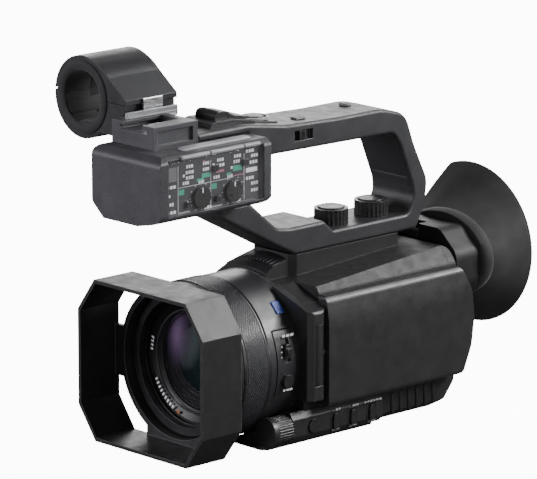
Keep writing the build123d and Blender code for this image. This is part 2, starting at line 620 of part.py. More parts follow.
def mic_clamp():
    seam = MIC_Z + 0.15
    clamp = mic_ring(seam, 200)
    clamp += front_prism(clamp_lobe(seam), MIC_Y0, MIC_Y1)
    clamp -= rod_y(MIC_X, MIC_Z, MIC_BORE, MIC_Y0 - 1, MIC_Y1 + 1)
    clamp -= rod_y(*MIC_HINGE, 2.3, MIC_Y0 - 1, MIC_Y0 + 8 + GAP)
    clamp -= rod_y(*MIC_HINGE, 2.3, MIC_Y1 - 8 - GAP, MIC_Y1 + 1)
    clamp += rod_y(*MIC_HINGE, 1.45, MIC_Y0 + 8 + GAP, MIC_Y1 - 8 - GAP)
    return clamp - rod_y(*MIC_HINGE, 0.7 + FIT, MIC_Y0 - 1, MIC_Y1 + 1)


def mic_latch():
    x, z = LATCH_AXIS
    latch = block(x - 0.6, x + 0.6, -70, -58, 161.5, z) + rod_y(x, z, 0.6, -70, -58)
    return latch + block(-14.9, x - 0.6, -70, -58, 161.5, 162.8)


# ---- writing ------------------------------------------------------------------------------
def all_parts():
    parts = dict(body_pieces())
    parts["base_plate"] = base_plate()
    parts["tripod_bush"] = tripod_bush()
    parts["main_board"] = main_board()
    parts["filter_ring"] = filter_ring()
    parts["name_ring"] = name_ring()
    parts["front_lens"] = front_lens()
    parts["lens_block"] = lens_block()
    parts["lens_barrel"] = lens_barrel()
    parts["barrel_control_plate"] = barrel_control_plate()
    parts["focus_ring"] = focus_ring()
    parts["focus_switch"] = focus_switch()
    parts["auto_focus_button"] = auto_focus_button()
    parts["lens_hood"] = lens_hood()
    parts["lcd_hinge_cover"] = lcd_hinge_cover()
    parts["lcd_hinge_arm"] = lcd_hinge_arm()
    parts["lcd_panel_shell"] = lcd_panel_shell()
    parts["lcd_screen"] = lcd_screen()
    parts["control_strip"] = control_strip()
    parts["manual_dial"] = manual_dial()
    parts["manual_button"] = manual_button()
    for i, y in enumerate((5.0, 16.5, 29.0), 1):
        parts[f"side_button_{i}"] = side_button(y)
    parts["viewfinder_carriage"] = viewfinder_carriage()
    parts["viewfinder_housing"] = viewfinder_housing()
    parts["eyepiece_lens"] = eyepiece_lens()
    parts["eyecup"] = eyecup()
    parts["battery"] = battery()
    parts["battery_release"] = battery_release()
    parts["record_button"] = record_button()
    parts["grip_zoom_lever"] = grip_zoom_lever()
    parts["card_door"] = card_door()
    parts["hand_strap"] = hand_strap()
    parts["strap_anchors"] = strap_anchors()
    parts["handle_frame"] = handle_frame()
    parts["handle_control_panel"] = [handle_control_panel(), handle_button_bezel()]
    parts["handle_zoom_rocker"] = handle_zoom_rocker()
    parts["handle_record_button"] = handle_record_button()
    parts["handle_hold_switch"] = handle_hold_switch()
    parts["thumb_knob_front"] = thumb_knob(KNOB_Y[0])
    parts["thumb_knob_rear"] = thumb_knob(KNOB_Y[1])
    parts["accessory_shoe"] = accessory_shoe()
    parts["audio_box"] = audio_box()
    parts["audio_control_panel"] = audio_control_panel()
    parts["audio_cover"] = audio_cover()
    parts["level_dial_1"] = level_dial(-70.6)
    parts["level_dial_2"] = level_dial(-50.4)
    parts["input_switch_1"] = input_switch(-62.0)
    parts["input_switch_2"] = input_switch(-43.0)
    parts["level_switch_1"] = level_switch(-79.0)
    parts["level_switch_2"] = level_switch(-60.5)
    parts["xlr_sockets"] = xlr_sockets()
    parts["mic_holder_base"] = mic_holder_base()
    parts["mic_clamp"] = mic_clamp()
    parts["mic_latch"] = mic_latch()
    return parts


os.makedirs("parts", exist_ok=True)
for name, piece in all_parts().items():
    if isinstance(piece, list):
        piece = Compound(children=piece)
    export_step(piece, f"parts/{name}.step")
    print(name, len(piece.solids()), round(piece.volume))
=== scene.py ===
import json
import math
import bpy
from mathutils import Matrix, Vector


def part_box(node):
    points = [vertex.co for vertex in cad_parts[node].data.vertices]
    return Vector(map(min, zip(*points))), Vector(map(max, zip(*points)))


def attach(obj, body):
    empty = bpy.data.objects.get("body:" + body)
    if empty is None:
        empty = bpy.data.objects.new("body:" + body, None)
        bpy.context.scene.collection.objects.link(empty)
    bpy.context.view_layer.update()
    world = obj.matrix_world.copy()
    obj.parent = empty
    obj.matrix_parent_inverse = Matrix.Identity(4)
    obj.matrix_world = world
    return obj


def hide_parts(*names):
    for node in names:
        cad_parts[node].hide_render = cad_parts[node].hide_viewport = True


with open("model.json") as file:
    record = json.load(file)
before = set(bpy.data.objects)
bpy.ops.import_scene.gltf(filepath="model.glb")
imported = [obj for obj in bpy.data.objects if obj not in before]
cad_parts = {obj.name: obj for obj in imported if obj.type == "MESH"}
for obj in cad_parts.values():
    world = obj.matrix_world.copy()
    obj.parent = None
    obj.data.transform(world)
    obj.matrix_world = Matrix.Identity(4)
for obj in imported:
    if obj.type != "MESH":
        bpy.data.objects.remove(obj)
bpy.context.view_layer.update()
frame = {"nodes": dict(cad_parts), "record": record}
NODES = frame["nodes"]
MM = 0.001


# ---- materials --------------------------------------------------------------------------
class Graph:
    """A material's node tree with short calls for what every finish here needs."""

    def __init__(self, name):
        self.mat = bpy.data.materials.new(name)
        self.mat.use_nodes = True
        self.tree = self.mat.node_tree
        self.shader = self.tree.nodes["Principled BSDF"]
        self.place = self.add("ShaderNodeTexCoord").outputs["Object"]

    def add(self, kind, **settings):
        node = self.tree.nodes.new(kind)
        for key, value in settings.items():
            setattr(node, key, value)
        return node

    def join(self, a, b):
        self.tree.links.new(a, b)

    def noise(self, scale, detail=3.0, rough=0.55, stretch=None):
        node = self.add("ShaderNodeTexNoise")
        node.inputs["Scale"].default_value = scale
        node.inputs["Detail"].default_value = detail
        node.inputs["Roughness"].default_value = rough
        self.join(self.stretched(stretch) if stretch else self.place, node.inputs["Vector"])
        return node.outputs["Fac"]

    def cells(self, scale):
        node = self.add("ShaderNodeTexVoronoi")
        node.inputs["Scale"].default_value = scale
        self.join(self.place, node.inputs["Vector"])
        return node.outputs["Distance"]

    def stretched(self, scale, shift=(0, 0, 0)):
        node = self.add("ShaderNodeMapping")
        node.inputs["Scale"].default_value = scale
        node.inputs["Location"].default_value = shift
        self.join(self.place, node.inputs["Vector"])
        return node.outputs["Vector"]

    def ramp(self, value, low, high, out_low=0.0, out_high=1.0):
        node = self.add("ShaderNodeMapRange")
        for key, number in (("From Min", low), ("From Max", high), ("To Min", out_low), ("To Max", out_high)):
            node.inputs[key].default_value = number
        self.join(value, node.inputs["Value"])
        return node.outputs["Result"]

    def sum(self, a, b, operation="ADD", factor=None):
        node = self.add("ShaderNodeMath", operation=operation)
        self.join(a, node.inputs[0])
        if b is None:
            node.inputs[1].default_value = factor
        else:
            self.join(b, node.inputs[1])
        return node.outputs["Value"]

    def blend(self, factor, low, high):
        node = self.add("ShaderNodeMix", data_type="RGBA")
        self.join(factor, node.inputs["Factor"])
        for socket, colour in ((node.inputs[6], low), (node.inputs[7], high)):
            if hasattr(colour, "links"):
                self.join(colour, socket)
            else:
                socket.default_value = (*colour, 1.0)
        return node.outputs[2]

    def rounded(self, radius):
        node = self.add("ShaderNodeBevel", samples=4)
        node.inputs["Radius"].default_value = radius
        return node.outputs["Normal"]

    def edges(self, bent):
        """1 on a rounded edge, 0 on a flat face."""
        flat = self.add("ShaderNodeNewGeometry").outputs["Normal"]
        dot = self.add("ShaderNodeVectorMath", operation="DOT_PRODUCT")
        self.join(bent, dot.inputs[0])
        self.join(flat, dot.inputs[1])
        return self.ramp(dot.outputs["Value"], 0.995, 0.86)

    def bump(self, height, distance, normal=None):
        node = self.add("ShaderNodeBump")
        node.inputs["Distance"].default_value = distance
        self.join(height, node.inputs["Height"])
        if normal is not None:
            self.join(normal, node.inputs["Normal"])
        self.join(node.outputs["Normal"], self.shader.inputs["Normal"])

    def set(self, **values):
        for key, value in values.items():
            self.shader.inputs[key.replace("_", " ")].default_value = value


def tint(colour, factor):
    return tuple(min(1.0, c * factor) for c in colour)


def moulded(name, colour, rough, grain=1500.0, depth=0.00004, edge=0.5, edge_colour=None, radius=0.0005,
            specular=0.5, metallic=0.0):
    """Moulded plastic or paint: fine grain, soft blotches, edges that catch the light and wear paler."""
    g = Graph(name)
    blotch = g.noise(60.0, 4.0)
    speck = g.noise(grain, 2.0)
    bent = g.rounded(radius)
    rim = g.edges(bent)
    scuff = g.ramp(g.noise(300.0, 5.0), 0.42, 0.62, 0.55, 1.0)
    worn = g.sum(g.sum(rim, scuff, "MULTIPLY"), None, "MULTIPLY", edge)
    base = g.blend(g.ramp(blotch, 0.3, 0.7), tint(colour, 0.86), tint(colour, 1.16))
    base = g.blend(g.ramp(speck, 0.52, 0.72, 0.0, 0.35), base, tint(colour, 1.7))
    g.join(g.blend(worn, base, edge_colour or tint(colour, 4.0)), g.shader.inputs["Base Color"])
    low = g.ramp(g.noise(180.0, 4.0), 0.3, 0.7, max(0.05, rough - 0.06), min(1.0, rough + 0.07))
    g.join(low, g.shader.inputs["Roughness"])
    g.bump(g.sum(speck, g.sum(g.cells(grain * 0.7), None, "MULTIPLY", 0.6)), depth, normal=bent)
    g.set(Specular_IOR_Level=specular, Metallic=metallic)
    return g.mat


def brushed(name, colour, rough, stretch):
    """Turned or brushed metal, with fine lines along one way."""
    g = Graph(name)
    lines = g.noise(900.0, 3.0, stretch=stretch)
    bent = g.rounded(0.0004)
    rim = g.edges(bent)
    base = g.blend(g.ramp(lines, 0.3, 0.7), tint(colour, 0.8), tint(colour, 1.15))
    g.join(g.blend(g.sum(rim, None, "MULTIPLY", 0.5), base, tint(colour, 1.6)), g.shader.inputs["Base Color"])
    g.join(g.ramp(lines, 0.3, 0.7, rough - 0.07, rough + 0.08), g.shader.inputs["Roughness"])
    g.bump(lines, 0.00002, normal=bent)
    g.set(Metallic=1.0)
    return g.mat


def coated_glass(name, tint_colour, gloss, alpha, rough=0.02, painted_reflection_colour=None, spot=(0, 0, 0), reach=(1, 1, 1)):
    """Lens glass with a tinted coating and a painted reflection: a coloured patch round one spot, given in
    millimetres.
    """
    g = Graph(name)
    swirl = g.noise(40.0, 2.0)
    colour = g.blend(g.ramp(swirl, 0.35, 0.65), tint(tint_colour, 0.8), tint(tint_colour, 1.2))
    clear = g.ramp(swirl, 0.3, 0.7, alpha, alpha + 0.04)
    # Painted reflection: round the spot the colour turns to the given one and the glass turns less clear.
    if painted_reflection_colour:
        scale = tuple(1 / (MM * r) for r in reach)
        centred = g.stretched(scale, tuple(-c / r for c, r in zip(spot, reach)))
        away = g.add("ShaderNodeVectorMath", operation="LENGTH")
        g.join(centred, away.inputs[0])
        reflection_mask = g.ramp(away.outputs["Value"], 1.0, 0.15)
        colour = g.blend(reflection_mask, colour, painted_reflection_colour)
        clear = g.sum(clear, g.sum(reflection_mask, None, "MULTIPLY", 0.5))
    g.join(colour, g.shader.inputs["Base Color"])
    g.join(g.ramp(g.noise(500.0, 4.0), 0.3, 0.8, rough, rough + 0.03), g.shader.inputs["Roughness"])
    g.join(clear, g.shader.inputs["Alpha"])
    g.bump(g.noise(200.0, 2.0), 0.000002)
    g.set(Specular_IOR_Level=gloss, IOR=1.6)
    return g.mat


def rubber(name, colour, rough=0.75):
    """Soft rubber: fine grain, dusty patches and a faint sheen."""
    g = Graph(name)
    bent = g.rounded(0.0006)
    dust = g.ramp(g.noise(120.0, 6.0, 0.65), 0.45, 0.75)
    grain = g.noise(2200.0, 2.0)
    base = g.blend(dust, colour, tint(colour, 1.7))
    g.join(g.blend(g.sum(g.edges(bent), None, "MULTIPLY", 0.25), base, tint(colour, 3.0)),
           g.shader.inputs["Base Color"])
    g.join(g.ramp(g.noise(240.0, 4.0), 0.3, 0.7, rough - 0.08, rough + 0.1), g.shader.inputs["Roughness"])
    g.bump(grain, 0.00003, normal=bent)
    g.set(Specular_IOR_Level=0.35, Sheen_Weight=0.15, Sheen_Roughness=0.5)
    return g.mat


THREADS = 420.0                   # scale of the woven bands


def webbing(name, colour):
    """Woven nylon: two crossing rib patterns with loose fibre noise."""
    g = Graph(name)
    warp = g.add("ShaderNodeTexWave", bands_direction="Y")
    weft = g.add("ShaderNodeTexWave", bands_direction="Z")
    for node in (warp, weft):
        node.inputs["Scale"].default_value = THREADS
        node.inputs["Distortion"].default_value = 0.6
        node.inputs["Detail"].default_value = 1.0
        g.join(g.place, node.inputs["Vector"])
    weave = g.sum(warp.outputs["Fac"], weft.outputs["Fac"], "MULTIPLY")
    fluff = g.noise(3000.0, 3.0)
    base = g.blend(g.ramp(weave, 0.1, 0.8), tint(colour, 0.5), tint(colour, 1.6))
    g.join(g.blend(g.ramp(fluff, 0.55, 0.8, 0.0, 0.4), base, tint(colour, 3.0)),
           g.shader.inputs["Base Color"])
    g.join(g.ramp(g.noise(90.0), 0.3, 0.7, 0.8, 0.95), g.shader.inputs["Roughness"])
    g.bump(g.sum(weave, g.sum(fluff, None, "MULTIPLY", 0.4)), 0.0002)
    g.set(Sheen_Weight=0.4, Sheen_Roughness=0.45, Specular_IOR_Level=0.25)
    return g.mat


def printed_ink(name, colour):
    return moulded(name, colour, 0.45, 3000.0, 0.000008, edge=0.0, radius=0.00005)


def make_finishes():
    return {
        "body": moulded("body_black_grain", (0.013, 0.013, 0.014), 0.50, 1300.0, 0.00006, specular=0.35),
        "gloss": moulded("monitor_metallic_black", (0.030, 0.030, 0.032), 0.36, 2400.0, 0.00002, edge=0.12,
                         radius=0.0007, specular=0.7, metallic=0.35),
        "handle": moulded("handle_satin_black", (0.030, 0.030, 0.033), 0.40, 1800.0, 0.00003, edge=0.7,
                          radius=0.0008),
        "hood": moulded("hood_matt_black", (0.016, 0.016, 0.017), 0.42, 2200.0, 0.00003, edge=0.9,
                        edge_colour=(0.16, 0.16, 0.17)),
        "barrel": moulded("barrel_satin_grey", (0.026, 0.026, 0.029), 0.33, 2600.0, 0.00002, specular=0.6),
        "lens_black": moulded("lens_flat_black", (0.008, 0.008, 0.009), 0.40, 2600.0, 0.00002),
        "box": moulded("audio_box_grey_grain", (0.050, 0.050, 0.057), 0.42, 1600.0, 0.00005, edge=0.6),
        "button": moulded("button_satin_black", (0.020, 0.020, 0.021), 0.30, 2600.0, 0.00002),
        "mic": moulded("mic_holder_black", (0.022, 0.022, 0.025), 0.36, 1900.0, 0.00003, edge=0.8),
        "battery": moulded("battery_matt_grey", (0.030, 0.030, 0.032), 0.55, 1500.0, 0.00006),
        "red": moulded("record_red", (0.32, 0.018, 0.012), 0.30, 2400.0, 0.00002, edge=0.2),
        "board": moulded("board_green", (0.012, 0.07, 0.03), 0.35, 1200.0, 0.00003),
        "screen": moulded("screen_black_glass", (0.004, 0.004, 0.005), 0.08, 2600.0, 0.000002),
        "rubber": rubber("eyecup_rubber", (0.019, 0.019, 0.020)),
        "steel": brushed("turned_steel", (0.55, 0.55, 0.56), 0.3, (0.2, 0.2, 3.0)),
        # Front element: a coating tint, with a painted reflection in purple round the given spot.
        "front_glass": coated_glass("front_element_coating_and_painted_reflection", (0.012, 0.010, 0.02), 0.9, 0.12, 0.02,
                                    (0.20, 0.13, 0.24), (-13.0, -47.0, 51.0), (11.0, 30.0, 19.0)),
        "clear": coated_glass("clear_lid_plastic", (0.3, 0.3, 0.31), 0.5, 0.03, 0.04),
        "strap": webbing("strap_webbing", (0.014, 0.014, 0.015)),
        "thread": rubber("strap_thread", (0.05, 0.05, 0.052), 0.8),
        "ring": moulded("focus_ring_black", (0.024, 0.024, 0.027), 0.30, 2600.0, 0.00002, edge=0.8,
                        specular=0.7),
        "silver": moulded("silver_grey_plastic", (0.30, 0.30, 0.32), 0.34, 2400.0, 0.00002, edge=0.3,
                          edge_colour=(0.6, 0.6, 0.62)),
        # Second element: a green coating tint, with a painted reflection in teal grey round the given spot.
        "second_glass": coated_glass("second_element_coating_and_painted_reflection", (0.010, 0.026, 0.023), 0.8, 0.9, 0.05,
                                     (0.24, 0.30, 0.30), (-11.0, -45.0, 49.0), (13.0, 30.0, 17.0)),
        "badge": moulded("plain_blue_badge", (0.02, 0.05, 0.34), 0.3, 2400.0, 0.00002, edge=0.2),
        "print_white": printed_ink("white_print", (0.85, 0.85, 0.87)),
        "print_grey": printed_ink("grey_print", (0.42, 0.42, 0.44)),
        "print_dim": printed_ink("dim_grey_print", (0.16, 0.16, 0.17)),
        "print_green": printed_ink("green_print", (0.05, 0.36, 0.24)),
        "print_pink": printed_ink("pink_print", (0.36, 0.14, 0.2)),
        "print_orange": printed_ink("orange_print", (0.42, 0.13, 0.04)),
    }


NODE_FINISH = {
    "left_body_shell": "body", "right_body_shell": "body", "top_cover": "body", "front_cover": "body",
    "rear_cover": "body", "base_plate": "body", "tripod_bush": "steel", "main_board": "board",
    "filter_ring": "lens_black", "name_ring": "lens_black", "front_lens": "front_glass",
    "lens_block": "lens_black", "lens_barrel": "barrel", "barrel_control_plate": "barrel",
    "focus_ring": "barrel", "focus_switch": "button", "auto_focus_button": "button", "lens_hood": "hood",
    "lcd_hinge_cover": "gloss", "lcd_hinge_arm": "gloss", "lcd_panel_shell": "gloss",
    "lcd_screen": "screen", "control_strip": "gloss", "manual_dial": "button", "manual_button": "button",
    "side_button_1": "button", "side_button_2": "button", "side_button_3": "button",
    "viewfinder_carriage": "body", "viewfinder_housing": "body", "eyepiece_lens": "front_glass",
    "eyecup": "rubber", "battery": "battery", "battery_release": "button", "record_button": "red",
    "grip_zoom_lever": "button", "card_door": "body", "hand_strap": "strap", "strap_anchors": "button",
    "handle_frame": "handle", "handle_control_panel": "gloss", "handle_zoom_rocker": "button",
    "handle_record_button": "button", "handle_hold_switch": "button", "thumb_knob_front": "button",
    "thumb_knob_rear": "button", "accessory_shoe": "box", "audio_box": "box", "audio_control_panel": "box",
    "audio_cover": "clear", "level_dial_1": "button", "level_dial_2": "button", "input_switch_1": "button",
    "input_switch_2": "button", "level_switch_1": "button", "level_switch_2": "button",
    "xlr_sockets": "lens_black", "mic_holder_base": "mic", "mic_clamp": "mic", "mic_latch": "steel",
}


def finish_nodes():
    for node, finish in NODE_FINISH.items():
        obj = NODES[node]
        obj.data.materials.clear()
        obj.data.materials.append(FINISHES[finish])


# ---- modelling --------------------------------------------------------------------------
BODY = {node: body for body, members in frame["record"]["behaviour"]["bodies"].items() for node in members}
FACING = {"+x": ((0, 1, 0), (0, 0, 1)), "-x": ((0, -1, 0), (0, 0, 1)), "-y": ((1, 0, 0), (0, 0, 1)),
          "+y": ((-1, 0, 0), (0, 0, 1)), "+z": ((1, 0, 0), (0, 1, 0))}
AXIS = (0, 0, 40)                 # lens axis, which runs along Y
GLASS_R = 24.3                    # front element
SECOND_R = 16.4                   # second element
NAME_R = 28.4                     # middle of the name ring's marks


def mm(*values):
    return Vector(values) * MM


def take(*objects):
    bpy.ops.object.select_all(action="DESELECT")
    for obj in objects:
        obj.select_set(True)
    bpy.context.view_layer.objects.active = objects[0]
    return objects[0]


def add(kind, **where):
    """A mesh primitive with its place applied, ready to be shaped."""
    bpy.ops.object.select_all(action="DESELECT")
    getattr(bpy.ops.mesh, f"primitive_{kind}_add")(**where)
    obj = bpy.context.object
    bpy.ops.object.transform_apply(location=True, rotation=True, scale=True)
    return obj


def modifier(obj, kind, **settings):
    take(obj)
    mod = obj.modifiers.new(kind.lower(), kind)
    for key, value in settings.items():
        setattr(mod, key, value)
    bpy.ops.object.modifier_apply(modifier=mod.name)
    return obj


def edit(obj, test, kind="FACE"):
    """Opens obj for editing with only the faces, edges or points that pass the test selected."""
    take(obj)
    bpy.ops.object.mode_set(mode="EDIT")
    bpy.ops.mesh.select_mode(type=kind)
    bpy.ops.mesh.select_all(action="DESELECT")
    bpy.ops.object.mode_set(mode="OBJECT")
    items = {"FACE": obj.data.polygons, "EDGE": obj.data.edges, "VERT": obj.data.vertices}[kind]
    for item in items:
        item.select = bool(test(item))
    bpy.ops.object.mode_set(mode="EDIT")


def close():
    bpy.ops.object.mode_set(mode="OBJECT")


def settle(obj, name, finish, node, smooth=35):
    """Names a shaped piece, gives it its finish, and makes it ride with a part of the camera."""
    take(obj)
    bpy.ops.object.transform_apply(location=True, rotation=True, scale=True)
    bpy.ops.object.shade_smooth_by_angle(angle=math.radians(smooth))
    obj.name = obj.data.name = name
    obj.data.materials.clear()
    obj.data.materials.append(FINISHES[finish])
    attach(obj, BODY[node])
    return obj


def turned(obj, angle, axis, centre):
    """Turns the mesh of a piece by an angle in degrees about a main axis through centre."""
    spot = Matrix.Translation(mm(*centre))
    obj.data.transform(spot @ Matrix.Rotation(math.radians(angle), 4, axis) @ spot.inverted())
    return obj


def twin_of(obj, move):
    """A copy with its own mesh, moved in millimetres."""
    twin = obj.copy()
    twin.data = obj.data.copy()
    twin.data.transform(Matrix.Translation(mm(*move)))
    bpy.context.scene.collection.objects.link(twin)
    return twin


def copy_of(obj, name, move, node):
    """A twin with its own name that rides with a part of the camera."""
    twin = twin_of(obj, move)
    twin.name = twin.data.name = name
    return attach(twin, BODY[node])


def slab(lo, hi, edge=0.4, dish=0.0, margin=0.8, facing="+z"):
    """A block with rounded edges, whose broad face can be set in, or raised by a dish below 0."""
    obj = add("cube", size=1.0)
    obj.scale = mm(*hi) - mm(*lo)
    obj.location = (mm(*hi) + mm(*lo)) / 2
    bpy.ops.object.transform_apply(location=True, rotation=True, scale=True)
    modifier(obj, "BEVEL", width=edge * MM, segments=3, limit_method="ANGLE")
    if dish:
        across, up = FACING[facing]
        way = Vector(across).cross(Vector(up))
        edit(obj, lambda face: face.normal.dot(way) > 0.999)
        bpy.ops.mesh.inset(thickness=margin * MM, depth=-dish * MM)
        close()
    return obj


def lathe(profile, centre, along=(0, -1, 0), side=(0, 0, 1), steps=96):
    """Turns a profile of (distance, radius) points about the line through centre."""
    axis, out = Vector(along), Vector(side)
    spots = [mm(*centre) + axis * (a * MM) + out * (r * MM) for a, r in profile]
    obj = add("plane", size=MM, location=spots[0])
    bpy.ops.object.mode_set(mode="EDIT")
    bpy.ops.mesh.select_mode(type="VERT")
    bpy.ops.mesh.select_all(action="SELECT")
    bpy.ops.mesh.merge(type="CENTER")
    for before, after in zip(spots, spots[1:]):
        bpy.ops.mesh.extrude_vertices_move(TRANSFORM_OT_translate={"value": after - before})
    bpy.ops.mesh.select_all(action="SELECT")
    bpy.ops.mesh.spin(steps=steps, angle=2 * math.pi, center=mm(*centre), axis=axis)
    bpy.ops.mesh.select_all(action="SELECT")
    bpy.ops.mesh.remove_doubles(threshold=0.000002)
    bpy.ops.mesh.normals_make_consistent(inside=False)
    close()
    return obj


def ring(a0, a1, r0, r1, edge=0.2):
    """A closed ring profile for lathe, with its outer corners cut back."""
    return [(a0, r0), (a0, r1 - edge), (a0 + edge, r1), (a1 - edge, r1), (a1, r1 - edge), (a1, r0), (a0, r0)]


def button_profile(height, radius, dish=0.15):
    """A round button: straight side, rounded shoulder and a slightly hollow face."""
    return [(0, 0), (0, radius), (height - 0.35, radius), (height - 0.1, radius - 0.12),
            (height, radius - 0.4), (height - dish, radius * 0.45), (height - dish, 0)]


def join(pieces):
    if len(pieces) > 1:
        take(*pieces)
        bpy.ops.object.join()
    return pieces[0]


def marks(name, rects, finish, node, origin, facing, thick=0.03):
    """Printed marks: thin plates (u, v, width, height) laid on a face, u across it and v up it."""
    across, up = (Vector(v) for v in FACING[facing])
    out = across.cross(up)
    tiles = []
    for u, v, width, height in rects:
        tile = add("plane", size=1.0)
        spot = mm(*origin) + across * (u * MM) + up * (v * MM)
        turn = Matrix((across, up, out)).transposed().to_4x4()
        size = Matrix.Diagonal((width * MM, height * MM, 1.0, 1.0))
        tile.matrix_world = Matrix.Translation(spot) @ turn @ size
        tiles.append(tile)
    sheet = join(tiles)
    bpy.ops.object.transform_apply(location=True, rotation=True, scale=True)
    modifier(sheet, "SOLIDIFY", thickness=thick * MM, offset=1.0)
    return settle(sheet, name, finish, node)


def dashes(u, v, length, height, count=4):
    """A printed line that stands for wording: a row of short bars of uneven width."""
    step = length / count
    return [(u - length / 2 + step * (i + 0.5), v, step * (0.62 + 0.2 * ((i * 7 + count) % 3) / 2), height)
            for i in range(count)]


# ---- lens -------------------------------------------------------------------------------
def focus_ring_grip():
    """The focus ring with a band of raised diamonds between two smooth lips."""
    front, back = 52.3, 36.4
    body = lathe([(back, 36.05), (back, 39.0), (back + 0.5, 39.5), (back + 1.2, 39.5), (back + 1.4, 38.9),
                  (front - 1.6, 38.9), (front - 1.4, 39.5), (front - 0.6, 39.5), (front, 38.9),
                  (front, 36.05), (back, 36.05)], AXIS, steps=144)
    rows, low, high = 11, back + 1.4, front - 1.6
    band = lathe([(low + (high - low) * i / rows, 39.25) for i in range(rows + 1)], AXIS, steps=132)
    count = len(band.data.vertices)
    edit(band, lambda face: True)
    bpy.ops.mesh.poke(offset=0.0)
    close()
    edit(band, lambda edge: max(edge.vertices) < count and not on_rim(band, edge, low, high), "EDGE")
    bpy.ops.mesh.dissolve_edges(use_verts=False)
    close()
    edit(band, lambda face: True)
    bpy.ops.mesh.inset(use_individual=True, thickness=0.14 * MM, depth=0.3 * MM)
    close()
    modifier(band, "SOLIDIFY", thickness=0.5 * MM, offset=-1.0)
    grip = settle(join([body, band]), "focus_ring_grip", "ring", "focus_ring", 30)
    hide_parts("focus_ring")


def on_rim(band, edge, low, high):
    """True for an edge that runs round either end of the knurled band."""
    depth = [-band.data.vertices[i].co.y / MM for i in edge.vertices]
    return max(depth) - min(depth) < 0.01 and (abs(depth[0] - low) < 0.01 or abs(depth[0] - high) < 0.01)


def lens_inside():
    """The glass behind the front edge: a domed front element, a black cone and a second element."""
    dome = [(46.9, 0), (46.9, GLASS_R), (47.2, GLASS_R)]
    dome += [(50.4 - 3.2 * (r / GLASS_R) ** 2, r) for r in (22.0, 18.0, 14.0, 9.0, 4.5)] + [(50.4, 0)]
    glass = settle(lathe(dome, AXIS), "front_element", "front_glass", "front_lens", 50)
    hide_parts("front_lens")
    cone = [(46.4, 24.2), (46.4, 22.5), (45.9, 22.5), (45.9, 20.5), (45.3, 20.5), (45.3, 18.4), (44.8, 18.4),
            (44.8, 16.5), (42.5, 16.5), (42.5, 24.2), (46.4, 24.2)]
    settle(lathe(cone, AXIS), "stepped_baffle", "lens_black", "lens_block", 20)
    second = [(43.0, 0), (43.0, SECOND_R)]
    second += [(46.6 - 2.2 * (r / SECOND_R) ** 2, r) for r in (SECOND_R, 13, 10, 7, 3.5)] + [(46.6, 0)]
    settle(lathe(second, AXIS), "second_element", "second_glass", "lens_block", 50)
    settle(lathe(ring(46.3, 47.1, 23.2, 24.4), AXIS), "glass_retaining_ring", "lens_black", "lens_block")
    for i, (a, r) in enumerate(((51.2, 31.0), (53.4, 31.6), (55.4, 32.4))):
        settle(lathe(ring(a - 0.5, a, r - 1.4, r, 0.15), AXIS), f"filter_thread_{i + 1}", "lens_black",
               "filter_ring")
    settle(lathe(ring(50.6, 51.3, 24.5, 25.4, 0.25), AXIS), "name_ring_lip", "barrel", "name_ring")


def name_ring_marks():
    """White dashes round the name ring, with one orange dot."""
    front = (AXIS[0], -51.1, AXIS[2])
    tile = marks("name_ring_dash_1", [(0, NAME_R, 1.1, 1.9)], "print_white", "name_ring", front,
                 "-y")
    angles = [76, 80, 84, 88] + [118 + 4.2 * i for i in range(9)]
    dashes_on_ring = [turned(copy_of(tile, f"name_ring_dash_{i + 2}", (0, 0, 0), "name_ring"), -a, "Y", AXIS)
                      for i, a in enumerate(angles)]
    bpy.data.objects.remove(tile)
    settle(join(dashes_on_ring), "name_ring_dashes", "print_white", "name_ring")
    dot = marks("name_ring_dot", [(0, NAME_R, 1.6, 1.6)], "print_orange", "name_ring", front,
                "-y")
    turned(dot, -160, "Y", AXIS)


def barrel_fittings():
    badge = turned(slab((-3.4, -24.6, 78.9), (3.4, -19.4, 79.7), 0.3, 0.15, 0.7), 47, "Y", AXIS)
    settle(badge, "barrel_badge", "badge", "lens_barrel")
    seam = lathe([(15.4, 38.9), (15.4, 39.35), (15.8, 39.45), (16.2, 39.35), (16.2, 38.9), (15.4, 38.9)],
                 AXIS, steps=144)
    settle(seam, "barrel_seam_ring", "barrel", "lens_barrel")
    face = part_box("barrel_control_plate")[1].x / MM
    marks("barrel_labels", dashes(-25.6, 55.8, 8.0, 1.2, 3) + dashes(-25.6, 29.2, 6.5, 1.0, 3)
          + [(-29.3, 45.5, 0.8, 0.5), (-29.3, 48.1, 0.8, 0.5), (-29.3, 50.7, 0.8, 0.5)],
          "print_white", "barrel_control_plate", (face, 0, 0), "+x")


# ---- viewfinder -------------------------------------------------------------------------
# distance back, middle, half width and half height of each section of the cup
CUP_SECTIONS = ((106.0, 12.0, 16.5, 14.5), (106.1, 12.0, 26.6, 17.8), (106.3, 12.0, 28.2, 19.4),
                (108.2, 12.0, 29.2, 20.2), (109.4, 12.0, 28.8, 19.8), (110.2, 11.8, 27.4, 18.6),
                (111.6, 11.4, 28.6, 19.6), (115.0, 10.4, 30.4, 21.6),
                (120.0, 9.0, 32.2, 25.0), (126.0, 7.2, 34.8, 30.0), (131.0, 5.6, 37.4, 35.2),
                (134.6, 4.4, 39.4, 39.2))
CUP_CUT = ((-9.5, 135.5, 70.0), (-17.5, 14.5, 0.0))   # flat cut that leaves the pointed nose side


EYE_Z = 70.0                      # height of the eyepiece


